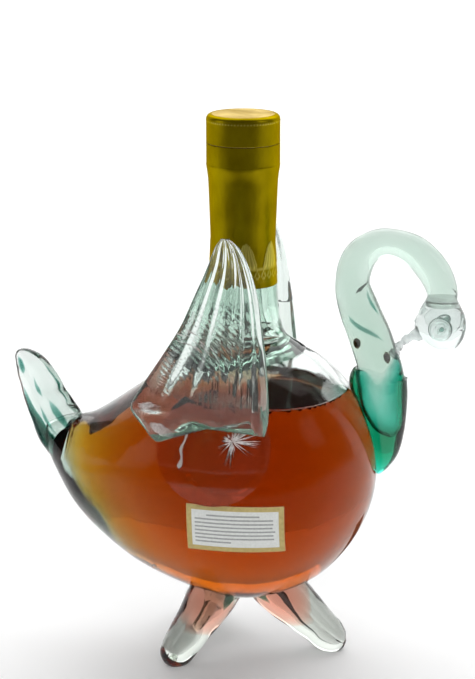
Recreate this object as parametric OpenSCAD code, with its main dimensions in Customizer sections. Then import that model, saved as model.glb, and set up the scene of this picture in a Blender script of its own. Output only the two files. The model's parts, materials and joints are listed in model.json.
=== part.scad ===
/* [Body] */
// Half of the body's depth, from its middle plane to one side
body_half_depth = 58; // [54:0.5:60]
// Wall of the blown body, away from the thick heel under the tail
body_wall = 3.4; // [2.6:0.2:4.2]
// Extra thickness of the heel, the glass under the tail
heel_t = 8; // [2:0.5:10]
// Height of the surface of the spirit above the table
fill_level = 124; // [90:1:126]

/* [Bottle neck] */
// Place of the bottle neck's axis along the body
neck_x = 3; // [2:0.5:5]
// Radius of the neck's bore, where the cork sits
bore_r = 10.5; // [9:0.1:11.5]
// Height of the mouth above the table
mouth_z = 241.2; // [238:0.2:244]
// Outer radius of the ring round the mouth
lip_r = 16.6; // [16.2:0.1:17]
// Height of the ring round the mouth
lip_h = 9.7; // [6:0.1:11]

/* [Stopper] */
// Radius of the stopper's wooden head
head_r = 16.7; // [16:0.1:17]
// Height of the stopper's wooden head
head_h = 12.9; // [10:0.1:15]
// Length of the cork below the head
cork_l = 24; // [18:0.5:30]
// Gap between the cork and the bore, on the radius
cork_gap = 0.05; // [0.02:0.01:0.1]

/* [Foil capsule] */
// Thickness of the foil
foil = 0.3; // [0.2:0.05:0.4]
// Height of the foil's lower edge above the table
foil_bottom_z = 175.5; // [170:0.5:192]

/* [Wings] */
// Depth of the pressed feather ribs
rib_depth = 0.8; // [0.3:0.1:1.2]
// Number of feather ribs on a wing
ribs = 8; // [5:1:9]
// Radius of the round pad that fixes a wing to the body
pad_r = 26; // [22:0.5:28]

/* [Feet] */
// Angle between the front foot and each back foot
foot_turn = 124; // [115:1:135]
// Turn of the front foot towards the right side
front_turn = 8; // [0:1:12]

/* [Label] */
// Length of the back label
label_l = 44.5; // [30:0.5:50]
// Height of the back label
label_h = 23; // [15:0.5:26]

/* [Hidden] */

clear_glass = [0.78, 0.87, 0.84, 0.45];
green_glass = [0.2, 0.52, 0.42, 0.7];
amber = [0.72, 0.3, 0.06, 0.85];
gold = [0.66, 0.53, 0.12];
oak = [0.72, 0.55, 0.36];
cork_brown = [0.76, 0.6, 0.42];
paper_white = [0.88, 0.89, 0.86];

round_fn = 72; // facets of the preview of round pieces

// Upright sections of the body, from tail to breast:
// [x, height of the middle, half height, share of the half depth]
body_rows = [
    [-90, 98, 7, 0.1],
    [-85, 94.5, 13.3, 0.21],
    [-77, 88.7, 20.6, 0.36],
    [-68, 84.7, 26.8, 0.48],
    [-57, 83.4, 34.9, 0.61],
    [-44, 83.6, 43.8, 0.76],
    [-28, 85.1, 52.7, 0.89],
    [-11, 86.5, 59.8, 0.97],
    [6, 86.9, 62.6, 1],
    [23, 88.1, 60.2, 0.97],
    [38, 88.5, 53.2, 0.88],
    [50, 88.7, 42.3, 0.73],
    [59, 89, 29.4, 0.52],
    [64.5, 89.5, 15.5, 0.28],
    [66.3, 89.5, 1, 0.02],
];

// Paths of the solid glass: [x, z, half thickness in the XZ plane, half width along Y]
swan_neck_rows = [
    [72.3, 104.6, 1, 1],
    [71, 109, 5, 5],
    [68.5, 117.5, 7.3, 7.3],
    [66.8, 128, 8.8, 8.8],
    [65.8, 140, 9.7, 9.4],
    [62.2, 152, 9.9, 9.4],
    [57.3, 164, 9.3, 8.8],
    [53.9, 176.5, 8, 8],
    [56.6, 188, 7.8, 7.6],
    [63.5, 194.7, 6.9, 7.1],
    [72.5, 196, 6.6, 6.9],
    [82.8, 192.3, 7.2, 7],
    [90.6, 184.2, 7.6, 7.2],
    [95, 175, 7.2, 7],
    [95.2, 167, 6.5, 6.5],
];
swan_head_rows = [
    [95.4, 174, 6, 6],
    [95.3, 170, 7.4, 7.4],
    [95.2, 165.5, 9.9, 9],
    [95.1, 161, 11.5, 9.8],
    [94.1, 156, 12.2, 9.8],
    [92, 152, 10.6, 8.6],
    [90.6, 149.6, 6.5, 5.5],
    [90.2, 148.8, 1.5, 1.5],
];
beak_rows = [
    [86.5, 154.6, 3.4, 3],
    [80.5, 151.8, 2.1, 2],
    [77, 149, 1.6, 1.6],
    [74.6, 146, 2.2, 1.9],
    [72.5, 142.5, 3.4, 2.6],
];
gather_rows = [
    [65.6, 143, 9.2, 7.4],
    [66.8, 137.5, 10.6, 8.6],
    [66.4, 131, 13.6, 8.9],
    [68, 124, 12.3, 8.8],
    [69, 116, 10.9, 8],
    [69.8, 107, 9.2, 7.6],
    [70, 98, 6.8, 7],
    [68.6, 91, 3.9, 4.6],
    [66.8, 86, 1, 1.5],
];
tail_rows = [
    [-79, 93, 11, 10],
    [-84.3, 102.5, 12.2, 9],
    [-88.9, 112, 11, 7.4],
    [-93, 121.5, 10, 6],
    [-95.8, 127.5, 9.2, 5.2],
    [-98.8, 132.5, 7.6, 4.4],
    [-101.7, 136, 5.2, 3.4],
    [-104, 138.2, 2.6, 2],
    [-104.8, 138.9, 0.6, 0.6],
];
// The foot starts under the body's middle. x is measured from foot_x.
foot_rows = [
    [12, 34, 12, 12],
    [22.5, 24.3, 11.8, 10.6],
    [32, 16.6, 10, 9.4],
    [39, 10.4, 9, 8.6],
    [44.5, 6.2, 8.4, 7.8],
    [49, 3.8, 5.9, 5.8],
    [51.5, 2.8, 1.8, 2],
];
foot_x = 1;
front_reach = 0.8;
back_reach = -1;

// Level sections of the right wing, from its base to its tip:
// [x of the back edge, x of the front edge, y of the middle, half thickness, z]
wing_rows = [
    [-33, 21.5, -56, 3.2, 114],
    [-40.5, 23, -55, 3.2, 121],
    [-41.2, 23.2, -54, 3.1, 128],
    [-36, 22.7, -52.8, 2.9, 138],
    [-27.5, 21.5, -51.5, 2.7, 151],
    [-18.8, 19.6, -50.4, 2.4, 165],
    [-12, 17.2, -49.8, 2.1, 180],
    [-6.2, 13.2, -49.4, 1.8, 193],
    [-3, 8.8, -49.2, 1.4, 201.5],
    [0, 3.8, -49, 0.8, 206],
];
wing_points = 33; // points across one face of a wing
bead_at = 0.92; // place of the thick front rib across the wing, 0 to 1
bead_t = 1.4; // how far the front rib stands out
bead_half = 0.05; // half its width, as a share of the wing's
ribbed = bead_at - 2 * bead_half; // share of the wing that has feather ribs
wing_edge_power = 8; // squareness of the wing's edges

pad_at = [-3, -53.4, 110.5];
pad_half_t = 4;
pad_tilt = 14;
eye_at = [95.2, -9.2, 158.4];
eye_r = 5.6;
eye_half_t = 1.8;
label_at = [7, 73.5];
label_t = 0.27;
label_lift = 0.08;

body_sides = 32; // points round a section of the body
rod_sides = 20; // points round solid drawn glass
least_r = 0.3; // no skin is drawn to a sharper point
heel_x = -66;
heel_length = 24;
heel_full_h = 30; // half height of a section from which the heel has its full thickness
tail_root = 8.5; // solid glass between the end of the body and its hollow
hollow_from_h = 11; // half height of the first section that is hollow
fill_gap = 0.1; // between the spirit and the glass
wide = 120; // more than the decanter reaches from its middle
fuse_depth = 1.4; // how far fused glass reaches into the body's wall
rod_weld = 0.3; // how far the breast gather reaches into the rod that it holds
hole_r = 19.5; // opening in the body, under the flared foot of the neck
lip_seat_r = 14.6;
foil_gap = 0.05;
cap_round = 2;
tear_gap = 0.3;
cork_bevel = 1.5;
top_z = mouth_z + head_h + foil;

// Outside and bore of the bottle neck, from below the lip ring down: [radius, z]
neck_outside = [[15.9, mouth_z - lip_h], [15.3, 214], [14.9, 197], [15.8, 177], [16.4, 167], [17.5, 158],
    [20, 151], [23.5, 147.8], [27, 144.5]];
neck_inside = [[19, 141.5], [17.5, 148.5], [14.5, 154.5], [11.8, 164], [bore_r, 176]];

// ---- smooth curves through rows of numbers ----

function curve_row(a, b, c, d, t) =
    0.5 * (2 * b + (c - a) * t + (2 * a - 5 * b + 4 * c - d) * t * t
    + (3 * b - a - 3 * c + d) * t * t * t);

function curve_at(rows, s) =
    let (n = len(rows) - 1, i = min(floor(s), n - 1))
    curve_row(rows[max(i - 1, 0)], rows[i], rows[i + 1], rows[min(i + 2, n)], s - i);

function smooth(rows, per) =
    [for (k = [0 : per * (len(rows) - 1)]) curve_at(rows, k / per)];

// ---- closed skins over stacks of rings ----

function middle(ring) = ([for (p = ring) 1] * ring) / len(ring);

// Faces that close a ring whose first point is number start. A folded ring runs out along
// one side and back along the other, and is closed straight across.
function fan_end(start, n, centre) = [for (i = [0 : n - 1]) [centre, start + (i + 1) % n, start + i]];
function folded_end(start, n) = [
    for (i = [0 : n / 2 - 2])
        let (a = start + i, b = start + n - 1 - i)
        each [[a + 1, a, b], [a + 1, b, b - 1]]
];
function turned(faces) = [for (f = faces) [f[2], f[1], f[0]]];

module skin(rings, folded = false) {
    n = len(rings[0]);
    m = len(rings);
    last = (m - 1) * n;
    centres = folded ? [] : [middle(rings[0]), middle(rings[m - 1])];
    sides = [
        for (j = [0 : m - 2], i = [0 : n - 1])
            let (a = j * n + i, b = j * n + (i + 1) % n)
            each [[a, b, b + n], [a, b + n, a + n]]
    ];
    ends = folded
        ? concat(folded_end(0, n), turned(folded_end(last, n)))
        : concat(fan_end(0, n, m * n), turned(fan_end(last, n, m * n + 1)));
    polyhedron(concat([for (ring = rings) each ring], centres), concat(sides, ends));
}

// Elliptical rings across a path in the XZ plane
function path_rings(path, sides) = [
    for (k = [0 : len(path) - 1])
        let (
            p = path[k],
            ahead = path[min(k + 1, len(path) - 1)],
            behind = path[max(k - 1, 0)],
            run = [ahead[0] - behind[0], ahead[1] - behind[1]],
            t = run / norm(run)
        )
        [for (i = [0 : sides - 1])
            let (a = 360 * i / sides, u = p[2] * cos(a), v = p[3] * sin(a))
            [p[0] - t[1] * u, v, p[1] + t[0] * u]]
];

function thinner(path, inset) =
    [for (p = path) [p[0], p[1], max(least_r, p[2] - inset), max(least_r, p[3] - inset)]];

module rod(rows, per, sides, inset = 0) skin(path_rings(thinner(smooth(rows, per), inset), sides));

// ---- body ----

body_sections = [for (r = smooth(body_rows, 2)) [r[0], r[1], r[2], r[3] * body_half_depth]];

function upright_ring(x, z, half_h, half_w) =
    let (h = max(least_r, half_h), w = max(least_r, half_w))
    [for (i = [0 : body_sides - 1]) [x, w * sin(360 * i / body_sides), z + h * cos(360 * i / body_sides)]];

function column(rows, c) = [for (r = rows) [r[0], r[c]]];

// Distance of the body's outside from its middle plane
function side_y(x, z) =
    let (
        mid = lookup(x, column(body_sections, 1)),
        half_h = lookup(x, column(body_sections, 2)),
        half_w = lookup(x, column(body_sections, 3))
    )
    half_w * sqrt(max(0, 1 - pow((z - mid) / half_h, 2)));

// The glass under the hollow, beyond the plain wall
function heel_at(x, half_h) = heel_t * exp(-pow((x - heel_x) / heel_length, 2)) * min(1, half_h / heel_full_h);

// The hollow follows the outside, one wall inside it, above the heel and clear of the
// solid root of the tail. The gap shrinks it all round.
module hollow(gap) {
    tail_x = body_rows[0][0];
    breast_x = body_rows[len(body_rows) - 1][0];
    inset = body_wall + gap;
    length_left = breast_x - tail_x - tail_root - inset;
    skin([
        for (r = body_sections)
            let (
                x = tail_x + tail_root + (r[0] - tail_x) * length_left / (breast_x - tail_x),
                heel = heel_at(r[0], r[2])
            )
            if (r[2] > hollow_from_h || r[0] > 0)
            upright_ring(x, r[1] + heel / 2, r[2] - inset - heel / 2, r[3] - inset)
    ]);
}

// The body's outside, or the same form a little smaller all round
module outside(inset) {
    shorter = 1 - inset / 100;
    skin([for (r = body_sections) upright_ring(r[0] * shorter, r[1], r[2] - inset, r[3] - inset)]);
}

// A resize of nothing keeps the size and settles a cut skin as one mesh.
module settled() resize([0, 0, 0]) children();

// Glass that is fused to the body reaches only a little way into its wall.
module fused() {
    settled() difference() {
        children();
        outside(fuse_depth);
    }
}

module body_shell() {
    color(clear_glass)
    settled() difference() {
        outside(0);
        hollow(0);
        translate([neck_x, 0, fill_level]) cylinder(r = hole_r, h = mouth_z - fill_level, $fn = 48);
    }
}

module spirit_fill() {
    color(amber)
    settled() intersection() {
        hollow(fill_gap);
        translate([0, 0, fill_level / 2]) cube([2 * wide, 2 * wide, fill_level], center = true);
    }
}

// ---- bottle neck, stopper and foil ----

module bottle_neck() {
    outside = smooth(neck_outside, 3);
    inside = smooth(neck_inside, 3);
    color(clear_glass)
    translate([neck_x, 0, 0])
    rotate_extrude($fn = round_fn)
    polygon(concat(
        [[bore_r, mouth_z], [lip_seat_r, mouth_z], [lip_seat_r, mouth_z - lip_h]],
        outside,
        inside
    ));
}

module lip_ring() {
    edge = 1.2;
    color(clear_glass)
    translate([neck_x, 0, mouth_z - lip_h])
    rotate_extrude($fn = round_fn)
    polygon([
        [lip_seat_r, 0], [lip_r - edge / 2, 0], [lip_r, edge],
        [lip_r, lip_h - edge], [lip_r - edge / 3, lip_h - edge / 3], [lip_r - edge, lip_h],
        [lip_seat_r, lip_h],
    ]);
}

module cork_shank() {
    r = bore_r - cork_gap;
    color(cork_brown)
    translate([neck_x, 0, mouth_z - cork_l]) {
        cylinder(r1 = r - cork_bevel / 2, r2 = r, h = cork_bevel, $fn = round_fn);
        translate([0, 0, cork_bevel]) cylinder(r = r, h = cork_l - cork_bevel, $fn = round_fn);
    }
}

// The rounded shoulder of the stopper's head, or of the foil over it, as an arc
function shoulder(r, top, radius) =
    [for (a = [0 : 15 : 90]) [r - radius + radius * cos(a), top - radius + radius * sin(a)]];

module stopper_head() {
    color(oak)
    translate([neck_x, 0, 0])
    rotate_extrude($fn = round_fn)
    polygon(concat([[0, mouth_z], [head_r, mouth_z]], shoulder(head_r, mouth_z + head_h, cap_round),
        [[0, mouth_z + head_h]]));
}

module capsule_cap() {
    inner_r = head_r + 2 * foil_gap;
    bottom = mouth_z + tear_gap / 2;
    outside = shoulder(inner_r + foil, top_z, cap_round + foil);
    inside = shoulder(inner_r, top_z - foil, cap_round);
    color(gold)
    translate([neck_x, 0, 0])
    rotate_extrude($fn = round_fn)
    polygon(concat([[inner_r, bottom], [inner_r + foil, bottom]], outside,
        [for (i = [len(inside) - 1 : -1 : 0]) inside[i]]));
}

module capsule_disc() {
    color(gold)
    translate([neck_x, 0, top_z - foil])
    cylinder(r = head_r + 2 * foil_gap - cap_round, h = foil, $fn = round_fn);
}

module capsule_skirt() {
    below_lip = mouth_z - lip_h;
    step = 1.5;
    under = concat(
        [[lip_r, mouth_z - tear_gap / 2], [lip_r, below_lip]],
        [for (p = smooth(neck_outside, 4)) if (p[1] < below_lip - step && p[1] > foil_bottom_z) p],
        [[lookup(foil_bottom_z, [for (i = [len(neck_outside) - 1 : -1 : 0])
            [neck_outside[i][1], neck_outside[i][0]]]) + foil_gap, foil_bottom_z]]
    );
    color(gold)
    translate([neck_x, 0, 0])
    rotate_extrude($fn = round_fn)
    polygon(concat(
        [for (p = under) [p[0] + foil_gap, p[1]]],
        [for (i = [len(under) - 1 : -1 : 0]) [under[i][0] + foil_gap + foil, under[i][1]]]
    ));
}

// ---- swan ----

module breast_gather() {
    color(green_glass)
    settled() difference() {
        rod(gather_rows, 2, rod_sides);
        outside(fuse_depth);
        rod(swan_neck_rows, 3, rod_sides, rod_weld);
    }
}

module swan_neck() color(clear_glass) rod(swan_neck_rows, 3, rod_sides);
module swan_head() color(clear_glass) rod(swan_head_rows, 2, rod_sides);
module beak() color(clear_glass) rod(beak_rows, 2, 12);
module tail() color(clear_glass) fused() rod(tail_rows, 2, rod_sides);

// A lens whose axis is Y
module lens(radius, half_t, fn) {
    rotate([90, 0, 0])
    rotate_extrude($fn = fn)
    polygon([for (a = [-90 : 15 : 90]) [radius * cos(a), half_t * sin(a)]]);
}

module eye_right() color(green_glass) translate(eye_at) lens(eye_r, eye_half_t, round_fn);
module eye_left() mirror([0, 1, 0]) eye_right();

module wing_pad_right()
    color(clear_glass) fused() translate(pad_at) rotate([-pad_tilt, 0, 0]) lens(pad_r, pad_half_t, 40);
module wing_pad_left() mirror([0, 1, 0]) wing_pad_right();

// How far one face stands from the wing's middle, at u across it
function wing_edge(u) = sqrt(1 - pow(2 * u - 1, wing_edge_power));
function wing_face(u) =
    u < ribbed
        ? rib_depth * (cos(360 * ribs * u / ribbed) - 1) / 2
        : bead_t * exp(-pow((u - bead_at) / bead_half, 2));

function wing_ring(row) =
    let (
        across = [for (i = [0 : wing_points - 1]) (i + 0.5) / wing_points],
        back = row[0],
        width = row[1] - row[0]
    )
    concat(
        [for (u = across) [back + width * u, row[2] + row[3] * wing_edge(u), row[4]]],
        [for (i = [wing_points - 1 : -1 : 0])
            let (u = across[i], t = row[3] * wing_edge(u) + wing_face(u) * min(1, row[3] / 2))
            [back + width * u, row[2] - t, row[4]]]
    );

module wing_right() color(clear_glass) skin([for (row = wing_rows) wing_ring(row)], folded = true);
module wing_left() mirror([0, 1, 0]) wing_right();

// ---- feet ----

function on_table(rings) = [for (ring = rings) [for (p = ring) [p[0], p[1], max(p[2], 0)]]];

module foot(turn, reach) {
    color(clear_glass)
    fused()
    translate([foot_x, 0, 0])
    rotate([0, 0, turn])
    translate([reach, 0, 0])
    skin(on_table(path_rings(smooth(foot_rows, 2), rod_sides)));
}

module foot_front() foot(-front_turn, front_reach);
module foot_back_right() foot(-foot_turn, back_reach);
module foot_back_left() mirror([0, 1, 0]) foot_back_right();

// ---- label ----

module back_label() {
    along = 8;
    up = 4;
    xs = [for (i = [0 : along]) label_at[0] + label_l * (i / along - 0.5)];
    zs = [for (i = [0 : up]) label_at[1] + label_h * (i / up - 0.5)];
    color(paper_white)
    skin([for (x = xs) concat(
        [for (z = zs) [x, -side_y(x, z) - label_lift - label_t, z]],
        [for (i = [up : -1 : 0]) [x, -side_y(x, zs[i]) - label_lift, zs[i]]]
    )], folded = true);
}

body_shell();
spirit_fill();
bottle_neck();
lip_ring();
cork_shank();
stopper_head();
capsule_skirt();
capsule_cap();
capsule_disc();
breast_gather();
swan_neck();
swan_head();
beak();
eye_right();
eye_left();
wing_pad_right();
wing_pad_left();
wing_right();
wing_left();
tail();
foot_front();
foot_back_right();
foot_back_left();
back_label();
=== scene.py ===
"""A swan-shaped decanter of blown glass over amber spirit, with a foil capsule. Metres, in the CAD frame."""

import json
import math
import random

import bmesh
import bpy
import numpy as np
from mathutils import Matrix, Vector, noise


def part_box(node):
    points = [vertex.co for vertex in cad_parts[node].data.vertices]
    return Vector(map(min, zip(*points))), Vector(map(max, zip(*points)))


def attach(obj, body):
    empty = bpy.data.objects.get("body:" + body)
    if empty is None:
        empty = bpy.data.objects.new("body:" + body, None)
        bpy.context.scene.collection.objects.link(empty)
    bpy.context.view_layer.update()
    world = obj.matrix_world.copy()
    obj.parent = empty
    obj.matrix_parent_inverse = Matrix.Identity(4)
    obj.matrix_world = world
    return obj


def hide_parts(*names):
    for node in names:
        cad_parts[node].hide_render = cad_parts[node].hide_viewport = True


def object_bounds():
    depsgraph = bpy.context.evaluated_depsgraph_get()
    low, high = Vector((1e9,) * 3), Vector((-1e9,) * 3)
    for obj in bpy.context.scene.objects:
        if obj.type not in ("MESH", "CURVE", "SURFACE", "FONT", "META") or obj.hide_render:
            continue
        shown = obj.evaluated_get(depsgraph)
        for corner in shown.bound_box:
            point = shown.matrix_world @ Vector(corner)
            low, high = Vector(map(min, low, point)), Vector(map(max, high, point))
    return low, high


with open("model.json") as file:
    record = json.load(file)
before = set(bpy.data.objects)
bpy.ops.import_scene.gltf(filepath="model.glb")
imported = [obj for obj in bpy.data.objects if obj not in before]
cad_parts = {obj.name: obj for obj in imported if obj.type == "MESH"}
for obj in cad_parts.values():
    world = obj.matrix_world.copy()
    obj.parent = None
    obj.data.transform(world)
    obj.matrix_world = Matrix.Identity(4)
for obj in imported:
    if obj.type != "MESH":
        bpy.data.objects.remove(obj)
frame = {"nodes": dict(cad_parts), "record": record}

cad_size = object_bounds()
scene = bpy.context.scene

MM = 0.001
TURN = 2 * math.pi
SHARP, SHEET_SHARP = math.radians(50), math.radians(40)  # bends of an edge that stay sharp
rng = random.Random(11)

record = frame["record"]
BODY_OF = {node: body for body, nodes in record["behaviour"]["bodies"].items() for node in nodes}

# ---- driving sizes, from the frame ----

neck_lo, neck_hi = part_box("bottle_neck")
cap_lo, cap_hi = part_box("capsule_cap")
skirt_lo, skirt_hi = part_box("capsule_skirt")
pad_lo, pad_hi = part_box("wing_pad_right")
lip_lo, lip_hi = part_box("lip_ring")
label_lo, label_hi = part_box("back_label")

HALF_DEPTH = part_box("body_shell")[1].y
NECK_X = (neck_lo.x + neck_hi.x) / 2
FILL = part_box("spirit_fill")[1].z  # level of the spirit
WALL = 3.4 * MM
OVERLAP = 0.15 * MM  # how far touching pieces reach into each other, so that no air is left between
FUSE = 1.4 * MM  # how far fused glass reaches into the body's wall
LEAST = 0.3 * MM  # least half size of a section of the body
FOIL_SHEET = 0.25 * MM

# The near pad: its outline, the height of its dome, the dome's place, its lean in degrees
pad_middle = (pad_lo + pad_hi) / 2
pad_radius = (pad_hi.x - pad_lo.x) / 2
PAD_BULGE = 4.4 * MM
PAD_Y, PAD_Z = -53.4 * MM, 110.5 * MM
PAD_LEAN = 14

# ---- shapes of the glass, in millimetres ----

# Upright sections of the body: x, height of the middle, half height, share of the half depth
BODY_ROWS = [
    [-90, 98, 7, 0.1], [-85, 94.5, 13.3, 0.21], [-77, 88.7, 20.6, 0.36],
    [-68, 84.7, 26.8, 0.48], [-57, 83.4, 34.9, 0.61], [-44, 83.6, 43.8, 0.76],
    [-28, 85.1, 52.7, 0.89], [-11, 86.5, 59.8, 0.97], [6, 86.9, 62.6, 1],
    [23, 88.1, 60.2, 0.97], [38, 88.5, 53.2, 0.88], [50, 88.7, 42.3, 0.73],
    [59, 89, 29.4, 0.52], [64.5, 89.5, 15.5, 0.28], [66.3, 89.5, 1, 0.02],
]
# The heel, thick glass low at the tail's end: its thickness, middle and length, and the half height it needs
HEEL_T, HEEL_X, HEEL_LENGTH, HEEL_FULL_H = 8, -66, 24, 30
TAIL_ROOT = 8.5  # solid glass at the tail's end
HOLLOW_FROM_H = 11  # half height of the body where the hollow starts
INSET_SPAN = 100  # distance from the origin at which an inset has its full size along X

# Solid glass: x, z, half thickness in the XZ plane, half width along Y
SWAN_NECK_ROWS = [
    [72.3, 104.6, 1, 1], [71, 109, 5, 5], [68.5, 117.5, 7.3, 7.3],
    [66.8, 128, 8.8, 8.8], [65.8, 140, 9.7, 9.4], [62.2, 152, 9.9, 9.4],
    [57.3, 164, 9.3, 8.8], [53.9, 176.5, 8, 8], [56.6, 188, 7.8, 7.6],
    [63.5, 194.7, 6.9, 7.1], [72.5, 196, 6.6, 6.9], [82.8, 192.3, 7.2, 7],
    [90.6, 184.2, 7.6, 7.2], [95, 175, 7.2, 7], [95.2, 167, 6.5, 6.5],
]
HEAD_ROWS = [
    [95.4, 174, 6, 6], [95.3, 170, 7.4, 7.4], [95.2, 165.5, 9.9, 9],
    [95.1, 161, 11.5, 9.8], [94.1, 156, 12.2, 9.8], [92, 152, 10.6, 8.6],
    [90.6, 149.6, 6.5, 5.5], [90.2, 148.8, 1.5, 1.5],
]
BEAK_ROWS = [
    [86.5, 154.6, 3.4, 3], [80.5, 151.8, 2.1, 2], [77, 149, 1.6, 1.6],
    [74.6, 146, 2.2, 1.9], [72.5, 142.5, 3.4, 2.6],
]
GATHER_ROWS = [
    [65.6, 143, 9.2, 7.4], [66.8, 137.5, 10.6, 8.6], [66.4, 131, 13.6, 8.9],
    [68, 124, 12.3, 8.8], [69, 116, 10.9, 8], [69.8, 107, 9.2, 7.6],
    [70, 98, 6.8, 7], [68.6, 91, 3.9, 4.6], [66.8, 86, 1, 1.5],
]
TAIL_ROWS = [
    [-79, 93, 11, 10], [-84.3, 102.5, 12.2, 9], [-88.9, 112, 11, 7.4],
    [-93, 121.5, 10, 6], [-95.8, 127.5, 9.2, 5.2], [-98.8, 132.5, 7.6, 4.4],
    [-101.7, 136, 5.2, 3.4], [-104, 138.2, 2.6, 2], [-104.8, 138.9, 0.6, 0.6],
]
# The foot leaves the body's middle along +X.
FOOT_ROWS = [
    [12, 34, 12, 12], [22.5, 24.3, 11.8, 10.6], [32, 16.6, 10, 9.4],
    [39, 10.4, 9, 8.6], [44.5, 6.2, 8.4, 7.8], [49, 3.8, 5.9, 5.8],
    [51.5, 2.8, 1.8, 2],
]
FOOT_X = 1
# Each foot's turn about Z in degrees, and how far it is moved out along its own line
FOOT_TURNS = {"foot_front": (-8, 0.8), "foot_back_right": (-124, -1), "foot_back_left": (124, -1)}
FOOT_CREASES = (0.07, 0.82)  # where the creases run, in turns round the foot

# Level sections of the near wing: x of the back edge, x of the front edge, y of the middle, half thickness, z
WING_ROWS = [
    [-33, 21.5, -56, 1.5, 114], [-40.5, 23, -55, 2.7, 121], [-41.2, 23.2, -54, 3.1, 128],
    [-36, 22.7, -52.8, 2.9, 138], [-27.5, 21.5, -51.5, 2.7, 151], [-18.8, 19.6, -50.4, 2.4, 165],
    [-12, 17.2, -49.8, 2.1, 180], [-6.2, 13.2, -49.4, 1.8, 193], [-3, 8.8, -49.2, 1.4, 201.5],
    [0, 3.8, -49, 0.8, 206],
]

# ---- curves and meshes ----


def smooth(rows, per):
    """The smooth curve through the rows, with that many steps between two of them."""
    rows = np.array(rows, float)
    last = len(rows) - 1
    steps = np.linspace(0, last, per * last + 1)
    row = np.minimum(steps.astype(int), last - 1)
    t = (steps - row)[:, None]
    a, b, c, d = (rows[np.clip(row + k, 0, last)] for k in (-1, 0, 1, 2))
    return 0.5 * (2 * b + (c - a) * t + (2 * a - 5 * b + 4 * c - d) * t**2 + (3 * b - a - 3 * c + d) * t**3)


def hump(value, middle, width):
    """A smooth hump of height 1 round the middle."""
    return np.exp(-(((value - middle) / width) ** 2))


def add_object(name, data):
    obj = bpy.data.objects.new(name, data)
    scene.collection.objects.link(obj)
    return obj


def mesh_object(name, points, faces):
    mesh = bpy.data.meshes.new(name)
    mesh.from_pydata([tuple(p) for p in points], [], faces)
    obj = add_object(name, mesh)
    face_outwards(obj)
    return obj


def face_outwards(obj):
    work = bmesh.new()
    work.from_mesh(obj.data)
    bmesh.ops.recalc_face_normals(work, faces=work.faces)
    work.to_mesh(obj.data)
    work.free()
    obj.data.shade_smooth()


def band_faces(count, sides, closed=False):
    """Four-sided faces between rings, back to the first ring if the stack is closed."""
    faces = []
    for j in range(count if closed else count - 1):
        for i in range(sides):
            across = (i + 1) % sides
            up = (j + 1) % count
            faces.append((j * sides + i, j * sides + across, up * sides + across, up * sides + i))
    return faces


def skin(name, rings):
    """A closed skin over a stack of rings, with a point in the middle of each end."""
    rings = np.asarray(rings)
    count, sides, _ = rings.shape
    points = np.concatenate([rings.reshape(-1, 3), rings[:1].mean(1), rings[-1:].mean(1)])
    faces = band_faces(count, sides)
    first, last = count * sides, (count - 1) * sides
    for i in range(sides):
        across = (i + 1) % sides
        faces.append((first, across, i))
        faces.append((first + 1, last + i, last + across))
    return mesh_object(name, points, faces)


def lathe(name, profile, sides, closed=False):
    """Turns a profile of (radius, height) about the Z axis."""
    angle = np.arange(sides) * TURN / sides
    rings = [
        np.stack([r * np.cos(angle), r * np.sin(angle), np.full(sides, h)], axis=1)
        for r, h in profile
    ]
    if not closed:
        return skin(name, rings)
    return mesh_object(name, np.concatenate(rings), band_faces(len(rings), sides, closed=True))


def arc(across, up, start, stop, count):
    """Points along an ellipse from one angle to another."""
    return [(across * math.cos(a), up * math.sin(a)) for a in np.linspace(start, stop, count)]


def over_neck(obj):
    """Moves what was turned about the Z axis to the bottle neck's axis."""
    obj.data.transform(Matrix.Translation((NECK_X, 0, 0)))
    return obj


def path_rings(rows, per, sides, grow=0.0, form=None):
    """Rings across a path in the XZ plane. form(share, angle) scales the radius."""
    least = 0.2
    path = smooth(rows, per)
    share = np.linspace(0, 1, len(path))[:, None]
    run = np.gradient(path[:, :2], axis=0)
    run /= np.linalg.norm(run, axis=1)[:, None]
    angle = (np.arange(sides) * TURN / sides)[None, :]
    scale = form(share, angle) if form else 1.0
    u = np.maximum(path[:, 2:3] + grow, least) * np.cos(angle) * scale
    v = np.maximum(path[:, 3:4] + grow, least) * np.sin(angle) * scale
    x = path[:, :1] - run[:, 1:] * u
    z = path[:, 1:2] + run[:, :1] * u
    return np.stack([x, v, z], axis=2) * MM


def settle(obj):
    """Makes the result of the modifiers the object's own mesh."""
    graph = bpy.context.evaluated_depsgraph_get()
    mesh = bpy.data.meshes.new_from_object(obj.evaluated_get(graph))
    obj.modifiers.clear()
    obj.data = mesh


def cut(obj, tool):
    modifier = obj.modifiers.new("cut", "BOOLEAN")
    modifier.object = tool
    modifier.operation = "DIFFERENCE"
    modifier.solver = "MANIFOLD"
    settle(obj)
    bpy.data.objects.remove(tool)
    obj.data.shade_smooth()
    obj.data.set_sharp_from_angle(angle=SHARP)


def coords(obj):
    co = np.empty(len(obj.data.vertices) * 3, np.float32)
    obj.data.vertices.foreach_get("co", co)
    return co.reshape(-1, 3)


def set_coords(obj, co):
    obj.data.vertices.foreach_set("co", np.asarray(co, np.float32).ravel())
    obj.data.update()


def ripple(obj, height, size, seed=0.0):
    """Pushes the surface in and out by soft noise, as of glass shaped while it flowed."""
    mesh = obj.data
    shift = Vector((seed, seed * 0.7, seed * 1.3))
    normals = np.empty(len(mesh.vertices) * 3, np.float32)
    mesh.vertex_normals.foreach_get("vector", normals)
    co = coords(obj)
    amount = np.array([noise.noise(v.co / size + shift) for v in mesh.vertices])
    set_coords(obj, co + normals.reshape(-1, 3) * (amount * height)[:, None])


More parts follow.
